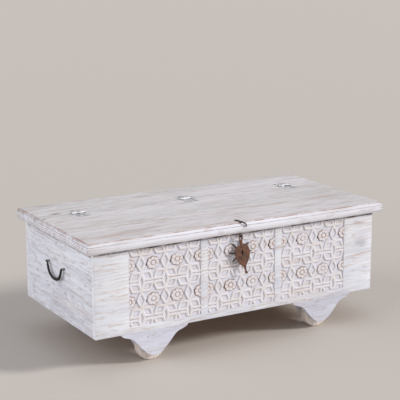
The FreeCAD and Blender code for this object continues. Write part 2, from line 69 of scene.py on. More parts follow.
def edit(piece, level="FACE"):
    # Edit mode, with everything selected
    pickOnly(piece)
    bpy.ops.object.mode_set(mode="EDIT")
    bpy.ops.mesh.select_mode(type=level)
    selectAll()


def choose(piece, kind, test):
    # In edit mode: selects the edges or faces that pass the test, and nothing else
    mesh = bmesh.from_edit_mesh(piece.data)
    bpy.ops.mesh.select_mode(type={"edges": "EDGE", "faces": "FACE"}[kind])
    bpy.ops.mesh.select_all(action="DESELECT")
    for item in getattr(mesh, kind):
        item.select_set(bool(test(item)))
    mesh.select_flush_mode()
    bmesh.update_edit_mesh(piece.data)


def cut(place, away, **rest):
    # In edit mode: cuts everything along a plane
    selectAll()
    bpy.ops.mesh.bisect(plane_co=place, plane_no=away, **rest)


def push(depth):
    # In edit mode: extrudes the selection to the back, or to the front where the depth is negative
    bpy.ops.mesh.extrude_region_move(TRANSFORM_OT_translate={"value": (0, depth, 0)})


def done(piece, turnOut=True):
    selectAll()
    if turnOut:
        bpy.ops.mesh.normals_make_consistent(inside=False)
    bpy.ops.object.mode_set(mode="OBJECT")
    return piece


def settle(piece):
    # The place goes into the mesh, so that patterns on Object coordinates stay put
    pickOnly(piece)
    bpy.ops.object.transform_apply(location=True, rotation=True, scale=True)
    return piece


def smooth(piece, angle):
    pickOnly(piece)
    bpy.ops.object.shade_smooth_by_angle(angle=math.radians(angle))
    return piece


def joined(pieces):
    pickOnly(*pieces)
    bpy.ops.object.join()
    return bpy.context.object


def modify(piece, kind, **settings):
    # Adds a modifier, sets it and applies it
    modifier = piece.modifiers.new(kind.lower(), kind)
    for name, value in settings.items():
        setattr(modifier, name, value)
    pickOnly(piece)
    bpy.ops.object.modifier_apply(modifier=modifier.name)


def clouds(name, size):
    texture = bpy.data.textures.new(name, "CLOUDS")
    texture.noise_scale = size * mm
    return texture


def ownCopy(piece):
    twin = piece.copy()
    twin.data = piece.data.copy()
    bpy.context.collection.objects.link(twin)
    return twin


def copyOfNode(node, turnOut=True):
    # A copy to work on, its doubled points joined
    piece = ownCopy(frame["nodes"][node])
    edit(piece)
    bpy.ops.mesh.remove_doubles(threshold=hair)
    return done(piece, turnOut)


def finishPiece(piece, name, body, slot, material, *nodes):
    piece.name = name
    piece.data.materials.clear()
    piece.data.materials.append(material)
    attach(piece, body)
    if nodes:
        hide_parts(*nodes)
    print("made", name)


# Camera, light and floor

camera = {
    "place": (-2.11866, -3.60646, 1.42084),
    "heading": 30.384,  # degrees from +Y towards +X
    "down": 13.072,
    "roll": 0.104,
    "lens": 110.585,
    "sensor": 36.0,
    "clipEnd": 200,
}
bpy.ops.object.camera_add(location=camera["place"])
view = bpy.context.object
view.name = "camera"
view.rotation_euler = (straight - math.radians(camera["down"]), math.radians(camera["roll"]),
                       -math.radians(camera["heading"]))
view.data.sensor_fit = "HORIZONTAL"
view.data.sensor_width = camera["sensor"]
view.data.lens = camera["lens"]
view.data.clip_end = camera["clipEnd"]
bpy.context.scene.camera = view
bpy.context.scene.view_settings.view_transform = "Standard"

light = {
    "key": {"from": (0.74, -0.50, 0.45), "strength": 2.25, "size": 13, "colour": "#fffcfb"},
    "fill": {"from": (-0.92, 0.08, 0.38), "strength": 1.3, "size": 60, "colour": "#f6f7ff"},
    "away": 5,  # metres; these are suns, so it changes nothing
    "room": 0.42,  # world strength
    "roomColour": "#f6f7ff",
    "backdrop": "#e9e4da",  # what the camera sees past the floor
    "floor": "#cfc8bf",
    "floorRough": 0.9,
    "floorSize": 80,  # metres
}


def toLinear(hexColour):
    values = [int(hexColour[i:i + 2], 16) / 255 for i in (1, 3, 5)]
    return [v / 12.92 if v <= 0.04045 else ((v + 0.055) / 1.055) ** 2.4 for v in values] + [1.0]


def addNode(tree, kind, settings=None):
    # Plain names are the node's own settings. Numbers and socket names are its inputs, which take a number,
    # a hex colour or a link as (node, output). ramp is a list of stops
    node = tree.nodes.new("ShaderNode" + kind)
    for name, value in (settings or {}).items():
        if name == "ramp":
            stops = node.color_ramp.elements
            while len(stops) < len(value):
                stops.new(0.5)
            for stop, (place, shade) in zip(stops, value):
                stop.position = place
                stop.color = toLinear(shade) if isinstance(shade, str) else (shade, shade, shade, 1)
        elif isinstance(value, tuple) and isinstance(value[0], bpy.types.Node):
            tree.links.new(value[0].outputs[value[1]], node.inputs[name])
        elif isinstance(name, int) or name in node.inputs:
            node.inputs[name].default_value = toLinear(value) if isinstance(value, str) else value
        else:
            setattr(node, name, value)
    return node


# Each of these adds one node and gives its output, ready to be linked

def mapped(tree, place, **settings):
    return addNode(tree, "Mapping", {**settings, "Vector": place}), "Vector"


def noise(tree, place, scale, detail, roughness=0.5, output="Fac"):
    return addNode(tree, "TexNoise", {"Scale": scale, "Detail": detail, "Roughness": roughness,
                                      "Vector": place}), output


def ramp(tree, source, *stops):
    return addNode(tree, "ValToRGB", {"ramp": stops, "Fac": source}), "Color"


def ranged(tree, source, low, high, start=0.0, end=1.0):
    # Start where the source is low, end where it is high
    return addNode(tree, "MapRange", {"From Min": low, "From Max": high, "To Min": start, "To Max": end,
                                      "Value": source}), "Result"


def reckon(tree, operation, *values):
    return addNode(tree, "Math", {"operation": operation, **dict(enumerate(values))}), "Value"


def paint(tree, share, under, shade):
    return addNode(tree, "Mix", {"data_type": "RGBA", 0: share, 6: under, 7: shade}), 2


for name in ("key", "fill"):
    lamp = light[name]
    bpy.ops.object.light_add(type="SUN", location=Vector(lamp["from"]) * light["away"])
    sun = bpy.context.object
    sun.name = name + "_light"
    sun.rotation_euler = Vector(lamp["from"]).to_track_quat("Z", "Y").to_euler()
    sun.data.energy = lamp["strength"]
    sun.data.angle = math.radians(lamp["size"])
    sun.data.color = toLinear(lamp["colour"])[:3]

world = bpy.data.worlds.new("soft_room")
bpy.context.scene.world = world
world.use_nodes = True
sky = world.node_tree
sky.nodes.clear()
rays = addNode(sky, "LightPath")
seen = reckon(sky, "MAXIMUM", (rays, "Is Camera Ray"), (rays, "Is Glossy Ray"))
roomGlow = addNode(sky, "Background", {"Color": light["roomColour"], "Strength": light["room"]})
backdropGlow = addNode(sky, "Background", {"Color": light["backdrop"], "Strength": 1.0})
both = addNode(sky, "MixShader", {"Fac": seen, 1: (roomGlow, "Background"), 2: (backdropGlow, "Background")})
addNode(sky, "OutputWorld", {"Surface": (both, "Shader")})

bpy.ops.object.select_all(action="DESELECT")
bpy.ops.mesh.primitive_plane_add(size=light["floorSize"])
floor = bpy.context.object
floor.name = "floor"
floorPaint = bpy.data.materials.new("matt_pale_floor")
floorPaint.use_nodes = True
floorShader = floorPaint.node_tree.nodes["Principled BSDF"]
floorShader.inputs["Base Color"].default_value = toLinear(light["floor"])
floorShader.inputs["Roughness"].default_value = light["floorRough"]
floor.data.materials.append(floorPaint)
print("camera, light and floor are in")


# Materials

def newMaterial(name):
    material = bpy.data.materials.new(name)
    material.use_nodes = True
    material.node_tree.nodes.clear()
    return material, material.node_tree


def shaded(tree, settings):
    shader = addNode(tree, "BsdfPrincipled", settings)
    addNode(tree, "OutputMaterial", {"Surface": (shader, "BSDF")})


def bumped(tree, height, strength, deep, edge=0):
    # Relief, and arrises rounded by the edge's radius
    settings = {"Strength": strength, "Distance": deep, "Height": height}
    if edge:
        settings["Normal"] = addNode(tree, "Bevel", {"samples": 4, "Radius": edge}), "Normal"
    return addNode(tree, "Bump", settings), "Normal"


def arrises(tree, radius, samples, *stops):
    # Where the rounded normal leaves the true one
    wide = addNode(tree, "Bevel", {"samples": samples, "Radius": radius})
    surface = addNode(tree, "NewGeometry")
    bend = addNode(tree, "VectorMath", {"operation": "DOT_PRODUCT", 0: (wide, "Normal"),
                                        1: (surface, "Normal")})
    return ramp(tree, (bend, "Value"), *stops)


# Painted shade: an ambient-occlusion mask that darkens corners and crevices
def shadedCorners(tree, reach, samples, *stops):
    dark = addNode(tree, "AmbientOcclusion", {"samples": samples, "Distance": reach, "only_local": True})
    return ramp(tree, (dark, "AO"), *stops)


limewash = {
    "arris": 3.0 * mm,  # how far from an arris the sanding has worn the wash off
    "edge": 0.8 * mm,  # how round the arrises are
    "corner": 5 * mm,  # how far from a corner the painted shade reaches
    "relief": 0.3 * mm,
    "rough": (0.88, 0.66),  # on the wash and in the open grain
    "faint": 0.75,  # the share of the streaks on the moulded edge
    # Noises: repeats in a metre, detail and roughness
    "waver": (2.6, 2), "waverBy": 16 * mm,  # how the streaks stray
    # The corner noise breaks up the painted shade in the corners
    "ringPatch": (7.0, 2), "rub": (34, 5, 0.7), "cornerShadePatch": (55, 3), "linePatch": (22, 4, 0.6),
    "layer": (1.0, 5, 0.62),  # its repeats are in each layer
    "fray": (2.2, 4, 0.7), "frayBy": 1.1,  # in half sizes of a smudge
    # The layers of end grain: metres from the middle where they start and are full, share and waver
    "endFrom": 0.557, "endFull": 0.562, "endShare": 0.75, "endWaver": (14, 3), "endWaverBy": 5 * mm,
    # Rings: the distance between growth lines, how far behind the face they centre, shade and share
    # Layers, which are broad tone, warm streaks, open grain and brush marks: how often each repeats in a
    # metre, along and across, where it starts and is full, its shade and its share. Real pores are 0.2 mm
    # wide, and are drawn wider so that they show
    # Lines: height, half height, share and shade
    # In each look: the brown of bare wood on worn arrises, which also colours the painted shade in corners,
    # its share on the arrises, and the share of that painted shade
    "looks": {
        "front": {
            "chalk": "#f6faff", "worn": "#a07a5e", "wornShare": 0.75, "cornerShade": 0.8,
            # Painted shadow: a dark line under the lid's nose
            "lines": [(389.0 * mm, 3.0 * mm, 0.92, "#4f3f39")],
            "rings": (11 * mm, 0.09, "#cdb2a0", 0.42),
            "layers": [
                ((1.3, 8, 8), 0.40, 0.66, "#dde0ee", 1.0), ((2.6, 26, 26), 0.54, 0.70, "#d8cbc6", 0.42),
                ((7, 150, 150), 0.52, 0.67, "#c8a98c", 0.48), ((9, 120, 120), 0.54, 0.70, "#ffffff", 0.7),
                ((24, 105, 105), 0.54, 0.68, "#b9a29a", 0.42), ((20, 85, 85), 0.55, 0.69, "#fafbff", 0.5)],
        },
        "bracket": {
            "chalk": "#e4e8f6", "worn": "#a98263", "wornShare": 0.85, "cornerShade": 0.7,
            "rings": (14 * mm, 0.12, "#c6b2a6", 0.25),
            "layers": [
                ((1.6, 9, 9), 0.40, 0.66, "#d1d3df", 0.9), ((3.0, 26, 26), 0.54, 0.70, "#cdc4c2", 0.4),
                ((9, 150, 150), 0.55, 0.68, "#ad9385", 0.5), ((9, 120, 120), 0.54, 0.70, "#f8f8ff", 0.6),
                ((24, 105, 105), 0.54, 0.68, "#ae9b96", 0.45)],
        },
        "side": {
            "chalk": "#f4f8ff", "worn": "#8a6a58", "wornShare": 0.7, "cornerShade": 0.8,
            # Painted shadow: a dark line under the lid's overhang
            "lines": [(379.5 * mm, 3.5 * mm, 0.55, "#6f6058")],
            "rings": (12 * mm, 0.10, "#bdaea6", 0.16),
            "layers": [
                ((1.2, 7, 7), 0.38, 0.64, "#d6d7e1", 0.9), ((1.8, 30, 30), 0.52, 0.68, "#c9bab0", 0.50),
                ((4.5, 120, 120), 0.51, 0.66, "#9c8d86", 0.42), ((5, 95, 95), 0.53, 0.70, "#fcfdff", 0.8),
                ((9, 190, 190), 0.59, 0.70, "#7d716c", 0.45), ((30, 110, 110), 0.53, 0.66, "#ad968f", 0.50),
                ((24, 90, 90), 0.54, 0.68, "#fbfdff", 0.6)],
        },
        "top": {
            # Painted light and shade: the flat top takes a greyer chalk than the front, and the faces that
            # don't face up a brighter one
            "chalk": "#e3e0e2", "litEdgeChalk": "#f6f7ff", "worn": "#9c6744", "wornShare": 1.0, "cornerShade": 0.5,
            # A dark line along the quirk, and bare wood worn along the arris
            "lines": [(419.7 * mm, 1.3 * mm, 0.34, "#8d7264"), (430.2 * mm, 1.6 * mm, 0.72, "#a1714f")],
            "endShade": "#8a6d5e",
            "endLines": [  # height and half height
                (426.6 * mm, 1.0 * mm), (419.8 * mm, 1.3 * mm), (412.0 * mm, 1.0 * mm),
                (404.5 * mm, 0.9 * mm)],
            "rings": (13 * mm, 0.07, "#bda593", 0.16),
            "layers": [
                ((0.9, 6, 6), 0.38, 0.64, "#cac9c6", 0.9), ((1.5, 26, 26), 0.52, 0.70, "#c5b1a3", 0.48),
                ((4, 85, 85), 0.52, 0.68, "#ae988a", 0.46), ((5, 95, 95), 0.53, 0.70, "#eeedee", 0.65),
                ((7, 160, 160), 0.57, 0.70, "#8f7567", 0.40), ((16, 60, 60), 0.54, 0.68, "#ab988f", 0.42),
                ((14, 50, 50), 0.56, 0.70, "#f3f2f4", 0.45)],
        },
    },
    # The rear strip's shoulder is smaller than the lid's, so its quirk lies higher and its dark line is
    # stronger
    "stripLines": [(424.7 * mm, 1.4 * mm, 0.75, "#6e544a"), (430.2 * mm, 1.6 * mm, 0.72, "#a1714f")],
    "smudgeGone": 1.3, "smudgeFull": 0.75,  # the frayed distances where a smudge ends and is full
    # Knots, stains and a painted shadow: place, half size along x, y and z, share and shade
    "stainsAndShadows": {
        "top": [((-0.4955, 0.137, 0.432), (0.040, 0.019, 0.1), 0.75, "#8d7463"),
                ((-0.556, 0.090, 0.432), (0.011, 0.014, 0.1), 0.75, "#7d675a"),
                ((-0.478, 0.268, 0.432), (0.070, 0.020, 0.1), 0.45, "#a9969b"),
                ((-0.12, 0.225, 0.432), (0.090, 0.022, 0.1), 0.40, "#b49a88"),
                ((-0.36, -0.195, 0.432), (0.150, 0.028, 0.1), 0.40, "#a8988d")],
        "front": [((0.492, -0.266, 0.290), (0.062, 0.1, 0.100), 0.35, "#cbc8d3"),
                  ((0.488, -0.266, 0.362), (0.048, 0.1, 0.011), 0.55, "#b4968a"),
                  ((0.497, -0.266, 0.288), (0.044, 0.1, 0.024), 0.45, "#aba3b0"),
                  ((0.478, -0.266, 0.246), (0.064, 0.1, 0.004), 0.65, "#c79d80"),
                  ((-0.485, -0.266, 0.352), (0.060, 0.1, 0.005), 0.45, "#c79f83"),
                  ((-0.465, -0.266, 0.150), (0.050, 0.1, 0.006), 0.45, "#c0a08c")],
        "bracket": [((x, -0.266, z), (0.003, 0.1, 0.0075), share, "#84685a")
                    for x, z, share in ((-0.358, 0.091, 0.8), (-0.350, 0.093, 0.6),
                                        (-0.339, 0.093, 0.75), (-0.331, 0.096, 0.5))],
        # Painted shadow on the carving behind the hasp's ring, seen through its hole
        "carved": [((-0.001, -0.266, 0.373), (0.012, 0.1, 0.015), 0.9, "#40332e"),
                   ((-0.020, -0.266, 0.379), (0.009, 0.1, 0.012), 0.6, "#6f625d")],
    },
}
waveLength = 0.314  # a wave texture of scale 1 repeats at this many metres


def stainedAndShadowed(tree, place, colour, look):
    # The noise centres on 0.5, so a smudge is full at its middle and gone one half size out
    for middle, size, share, shade in limewash["stainsAndShadows"].get(look, []):
        around = mapped(tree, place, vector_type="TEXTURE", Location=middle, Scale=size)
        frayed = noise(tree, around, *limewash["fray"])
        far = addNode(tree, "VectorMath", {"operation": "LENGTH", 0: around}), "Value"
        ragged = reckon(tree, "MULTIPLY_ADD", frayed, limewash["frayBy"], far)
        mask = ranged(tree, ragged, limewash["smudgeGone"], limewash["smudgeFull"], end=share)
        colour = paint(tree, mask, colour, shade)
    return colour


def lined(tree, place, colour, lines):
    # Lines at given heights: painted shadow under the lid, a dark line along the quirk, and wear where hands
    # rub along the top's arris
    height = addNode(tree, "SeparateXYZ", {"Vector": place}), "Z"
    patch = ramp(tree, noise(tree, place, *limewash["linePatch"]), (0.38, 0.25), (0.58, 1.0))
    for level, reach, share, shade in lines:
        line = reckon(tree, "COMPARE", height, level, reach)
        part = reckon(tree, "MULTIPLY", line, patch)
        mask = reckon(tree, "MULTIPLY", part, share)
        colour = paint(tree, mask, colour, shade)
    return colour


def endGrained(tree, place, colour, patch, wash):
    # Layers of end grain on the ends of the top, a little wavy
    spot = addNode(tree, "SeparateXYZ", {"Vector": place})
    waver = limewash["endWaverBy"]
    height = reckon(tree, "MULTIPLY_ADD", noise(tree, place, *limewash["endWaver"]), waver, (spot, "Z"))
    outward = reckon(tree, "ABSOLUTE", (spot, "X"))
    atEnd = ranged(tree, outward, limewash["endFrom"], limewash["endFull"], end=limewash["endShare"])
    for level, reach in wash["endLines"]:
        line = reckon(tree, "COMPARE", height, level + waver / 2, reach)
        part = reckon(tree, "MULTIPLY", line, patch)
        mask = reckon(tree, "MULTIPLY", part, atEnd)
        colour = paint(tree, mask, colour, wash["endShade"])
    return colour


def limewashedMango(name, look, turn, **changes):
    # Limewashed mango wood, sanded back: chalky and dead matt, warm grain showing through in thin streaks,
    # bare brown along the worn arrises, and painted shade in that brown in the corners
    wash = {**limewash["looks"][look], **changes}
    material, tree = newMaterial(name)
    coordinates = addNode(tree, "TexCoord")
    place = coordinates, "Object"
    board = mapped(tree, place, Rotation=turn)
    drift = noise(tree, board, *limewash["waver"], output="Color")
    wavy = addNode(tree, "VectorMath", {"operation": "MULTIPLY_ADD", 0: drift, 1: [limewash["waverBy"]] * 3,
                                        2: board}), "Vector"
    # On the moulded edge, which doesn't face up, the chalk is brighter, as painted light, and the streaks are
    # fainter
    upward = addNode(tree, "SeparateXYZ", {"Vector": (coordinates, "Normal")}), "Z"
    flat = ramp(tree, upward, (0.86, 0.0), (0.97, 1.0))
    strength = ranged(tree, flat, 0, 1, limewash["faint"] if "litEdgeChalk" in wash else 1.0)
    colour = paint(tree, flat, wash.get("litEdgeChalk", wash["chalk"]), wash["chalk"])
    # Growth lines, cut by the face into long arches
    spacing, behind, ringShade, ringShare = wash["rings"]
    tilted = mapped(tree, wavy, Rotation=(0, 0.05, 0.09), Location=(0, behind, behind))
    rings = addNode(tree, "TexWave", {"wave_type": "RINGS", "rings_direction": "X", "Distortion": 5.0,
                                      "Detail": 3.0, "Detail Scale": 0.25, "Scale": waveLength / spacing,
                                      "Vector": tilted})
    ringMask = ramp(tree, (rings, "Fac"), (0.62, 0.0), (0.96, ringShare))
    ringPatch = ranged(tree, noise(tree, board, *limewash["ringPatch"]), 0.42, 0.62)
    ringHere = reckon(tree, "MULTIPLY", ringMask, ringPatch)
    ringPart = reckon(tree, "MULTIPLY", ringHere, strength)
    colour = paint(tree, ringPart, colour, ringShade)
    noises, masks = [], []
    for k, (size, start, full, shade, share) in enumerate(wash["layers"]):
        spread = mapped(tree, wavy, Scale=size, Location=(3 * k, 5 * k, 7 * k))
        noises.append(noise(tree, spread, *limewash["layer"]))
        masks.append(ramp(tree, noises[k], (start, 0.0), (full, share)))
        part = reckon(tree, "MULTIPLY", masks[k], strength)
        colour = paint(tree, part, colour, shade)
    streaks, openGrain = noises[1], masks[2]
    colour = stainedAndShadowed(tree, place, colour, look)
    # Bare wood along the arrises
    arris = arrises(tree, limewash["arris"], 6, (0.80, 1.0), (0.985, 0.0))
    rub = ramp(tree, noise(tree, place, *limewash["rub"]), (0.46, 0.0), (0.60, wash["wornShare"]))
    colour = paint(tree, reckon(tree, "MULTIPLY", arris, rub), colour, wash["worn"])
    # Painted shade in the corners, in the worn brown, broken up in patches
    corner = shadedCorners(tree, limewash["corner"], 6, (0.30, wash["cornerShade"]), (0.72, 0.0))
    patch = ramp(tree, noise(tree, place, *limewash["cornerShadePatch"]), (0.40, 0.15), (0.62, 1.0))
    colour = paint(tree, reckon(tree, "MULTIPLY", corner, patch), colour, wash["worn"])
    colour = lined(tree, place, colour, wash.get("lines", []))
    if "endLines" in wash:
        colour = endGrained(tree, place, colour, patch, wash)
    # The brush stands up and the open grain lies deep
    relief = reckon(tree, "MULTIPLY_ADD", openGrain, -1.0, streaks)
    bump = bumped(tree, relief, 0.4, limewash["relief"], limewash["edge"])
    rough = ranged(tree, openGrain, 0, 1, *limewash["rough"])
    shaded(tree, {"IOR": 1.5, "Specular IOR Level": 0.35, "Base Color": colour, "Roughness": rough,
                  "Normal": bump})
    return material


alongX = (0, 0, 0)
alongY = (0, 0, straight)
alongZ = (0, straight, 0)
washFront = limewashedMango("limewashed_mango_front", "front", alongX)
washSide = limewashedMango("limewashed_mango_ends", "side", alongY)
washTop = limewashedMango("limewashed_mango_top", "top", alongX)
washStrip = limewashedMango("limewashed_mango_strip", "top", alongX, lines=limewash["stripLines"])
washBracket = limewashedMango("limewashed_mango_brackets", "bracket", alongX)

sawn = {
    "pale": "#b8936f", "dark": "#8d6747", "rough": 0.8,
    "wheelPale": "#efe6df", "wheelDark": "#d3c0b3", "wheelRough": 0.7,  # the wheels are limed
    "stretch": (5, 90, 90),  # repeats in a metre, along and across
    "relief": 0.4 * mm,
}


def bareMango(name, pale, dark, turn, rough):
    # Sawn mango wood: matt and warm brown with darker growth lines, or pale where lime is rubbed in
    material, tree = newMaterial(name)
    place = addNode(tree, "TexCoord"), "Object"
    along = mapped(tree, mapped(tree, place, Rotation=turn), Scale=sawn["stretch"])
    grain = addNode(tree, "TexNoise", {"Scale": 1.0, "Detail": 6, "Roughness": 0.6, "Distortion": 0.4,
                                       "Vector": along}), "Fac"
    shade = ramp(tree, grain, (0.30, dark), (0.50, pale), (0.75, dark))
    bump = bumped(tree, grain, 0.4, sawn["relief"])
    shaded(tree, {"IOR": 1.5, "Roughness": rough, "Base Color": shade, "Normal": bump})
    return material


bareInside = bareMango("sawn_mango_inside", sawn["pale"], sawn["dark"], alongX, sawn["rough"])
bareAcross = bareMango("sawn_mango_across", sawn["pale"], sawn["dark"], alongY, sawn["rough"])
wheelWood = bareMango("turned_mango_wheel", sawn["wheelPale"], sawn["wheelDark"], alongZ, sawn["wheelRough"])

iron = {
    # Base, rust and scale colours, how metallic and how rough
    "rusted": ("#745343", "#8d5f47", "#463530", 0.12, 0.8),
    "waxed": ("#221a18", "#35261f", "#130f0f", 0.1, 0.74),
    "blotch": (90, 6, 0.65), "pit": (420, 4, 0.7),  # noises: repeats in a metre, detail and roughness
    "pitDepth": 0.5 * mm, "edge": 0.8 * mm,
    "glossier": -0.12, "duller": 0.1,  # how far the roughness strays
}


def forgedIron(name, base, rust, dark, metal, rough):
    # Forged iron: pitted and uneven, brown rust over dark scale, a dull shine where hands rub it
    material, tree = newMaterial(name)
    place = addNode(tree, "TexCoord"), "Object"
    blotch = noise(tree, place, *iron["blotch"])
    blotchShade = ramp(tree, blotch, (0.34, dark), (0.50, base), (0.68, rust))
    pit = noise(tree, place, *iron["pit"])
    pitShade = ramp(tree, pit, (0.36, 0.45), (0.52, 1.0))
    pitted = addNode(tree, "Mix", {"data_type": "RGBA", "blend_type": "MULTIPLY", 0: 1.0, 6: blotchShade,
                                   7: pitShade}), 2
    bump = bumped(tree, pit, 0.7, iron["pitDepth"], iron["edge"])
    gloss = ranged(tree, blotch, 0, 1, rough + iron["glossier"], rough + iron["duller"])
    shaded(tree, {"Metallic": metal, "Base Color": pitted, "Roughness": gloss, "Normal": bump})
    return material


rustedIron = forgedIron("rusted_forged_iron", *iron["rusted"])
darkIron = forgedIron("waxed_black_iron", *iron["waxed"])

steel = {
    # Bright and dull colour and roughness
    "nickel": ("#d6d8df", "#989ba4", 0.52),
    "screw": ("#bfc0c2", "#77787a", 0.34),
    "scratch": (900, 60, 900),  # repeats in a metre, across, along and across
    "scratchDepth": 0.05 * mm, "edge": 0.4 * mm,
    "stain": (75, 3),  # noise: repeats in a metre and detail
    "glossier": -0.08, "duller": 0.18,  # how far the roughness strays
}


def platedSteel(name, bright, dull, rough):
    # Nickel plate on stamped steel: bright, lightly scratched, dull in patches
    material, tree = newMaterial(name)
    place = addNode(tree, "TexCoord"), "Object"
    scratch = noise(tree, mapped(tree, place, Scale=steel["scratch"]), 1.0, 3)
    stain = ramp(tree, noise(tree, place, *steel["stain"]), (0.40, 0.0), (0.62, 1.0))
    gloss = ranged(tree, stain, 0, 1, rough + steel["glossier"], rough + steel["duller"])
    bump = bumped(tree, scratch, 0.08, steel["scratchDepth"], steel["edge"])
    shaded(tree, {"Metallic": 1.0, "Base Color": paint(tree, stain, bright, dull), "Roughness": gloss,
                  "Normal": bump})
    return material


nickel = platedSteel("nickel_plated_steel", *steel["nickel"])
screwSteel = platedSteel("bright_screw_steel", *steel["screw"])

finishOf = {
    "whitewashed_wood": washFront, "raw_wood": bareInside, "wheel_wood": wheelWood, "rusty_iron": rustedIron,
    "black_iron": darkIron, "nickel_plate": nickel, "bright_steel": screwSteel,
}
ownFinish = {
    "left_end_board": washSide, "right_end_board": washSide,
    "lid_panel": washTop, "rear_top_strip": washStrip,
}
for side in ("left", "right"):
    for end in ("front", "back"):
        ownFinish["%s_%s_wheel_bracket" % (end, side)] = washBracket
        ownFinish["%s_%s_inner_wheel_block" % (end, side)] = washBracket
    for kind in ("cleat", "lid_batten", "floor_batten"):
        ownFinish["%s_%s" % (side, kind)] = bareAcross
for name, node in frame["nodes"].items():
    material = ownFinish.get(name, finishOf[slotOf[name]])
    for place in node.material_slots:
        place.material = material
print("materials are on", len(frame["nodes"]), "nodes")


# Carved front board, in mm except where a note says otherwise

carving = {
    "pitch": 88, "columns": 3, "fields": 3,
    "fieldWidth": 264.5, "stile": 26.5, "foot": 22, "head": 4,  # the sunk fields and what is left round them
    "ground": 3.6,  # depth of the flat ground
    "boardArris": 0.7, "trim": 0.4,  # the carving ends this far inside its field
    # A ridge's section: how far it stands outside the line that it follows, its width, its top's depth, the
    # run of its outer and inner slope and the depth of the floor inside
    "reach": 2.9, "ridge": 6.6, "ridgeTop": 0.1, "draft": 1.1, "slope": 2.7, "floorDepth": 3.1,
    "ridgeRound": 2.2, "sharp": 0.3,  # an edge bent by more than this, in radians, is rounded
    "soften": 0.2,  # share
    "skirt": 1.7, "skirtRise": 0.03, "skirtFall": 0.05,  # the stained line at the foot of each wall
    "sunk": 0.6,  # how far the ridges go down into the ground
    "lift": (-0.25, 0.0), "seat": (0.08, 0.22),  # by chance: the top's height and the outer skirt's
    "stainShare": (0.4, 0.8), "outerStain": 0.85,  # by chance, and the outer line's part of it
    "stainReach": 0.012,  # points this close to a stained depth are stained
    "arms": (32, 43, 10, 27.5),  # a rhombus beside a star: upper reach, lower reach, inner foot, drop
    "bigHalf": 15.4, "smallHalf": 11,
    "starRows": (198.5, 77), "lowRows": (255.5, 134.5, 12.5), "rosetteRows": (224.5, 104),
    # Rosettes: radius, height over the ground and stain, from the outer line to the dimple
    "rosette": [(24.6, -0.6, 0), (24.6, 0.26, 0.15), (22.8, 0.26, 0.72), (21.6, 0.45, 0.72), (20.9, 2.2, 0.4),
                (19.4, 2.65, 0.05), (16.6, 2.75, 0), (12.6, 2.5, 0), (9.8, 2.2, 0.08), (8.6, 1.2, 0.5),
                (7.6, 1.0, 0.55), (6.7, 2.2, 0.3), (4.8, 2.9, 0), (2.5, 3.1, 0), (1.0, 3.1, 0)],
    "rosetteSteps": 64, "petals": 8, "petalDepth": 0.45, "petalNotch": 0.13, "petalFrom": 8.2,
    "petalSharp": 1.5,  # a power: the higher, the narrower the notches
    "petalTop": 1.0,  # only what stands higher is cut deeper between the petals
    "petalStain": 0.30, "rimStain": 0.12, "rimFrom": 19.2,
    "oval": (1.11, 0.95),  # the rosettes are a little wider than high
    "rosetteTurn": 0.12,  # radians at most, by chance
    "dot": 0.2,  # painted shade, near black, in the cut pits at a rosette's left and right: the sine of half their angle
    "jitter": 0.35, "wander": 0.9, "wanderSize": 24,
    # Colours: ridge tops, painted shade on the ground, grain, walls, painted shade in tight pits, rubbed
    # arrises, and the stains, the darkest of them painted shade in the rosettes' pits
    "cream": "#f0eff3", "paintedGroundShade": "#e7e8f3", "grain": "#dbc8b4", "wall": "#c69e78", "pit": "#6a574d",
    "rubbed": "#bf9678", "tan": "#c29468", "brown": "#70543f", "black": "#2e2320",
    "creamTo": 0.6, "groundFrom": 2.6,  # depths
    # Noises: repeats in a metre, detail and roughness
    "stretch": (7, 60, 60), "grainNoise": (1.0, 5, 0.6), "patch": (26, 4, 0.65),
    "corner": 6 * mm, "arris": 1.2 * mm, "relief": 0.3 * mm,  # metres
}
boardLow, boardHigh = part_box("front_board")
yFace = boardLow.y
zFoot = boardLow.z
random.seed(7)


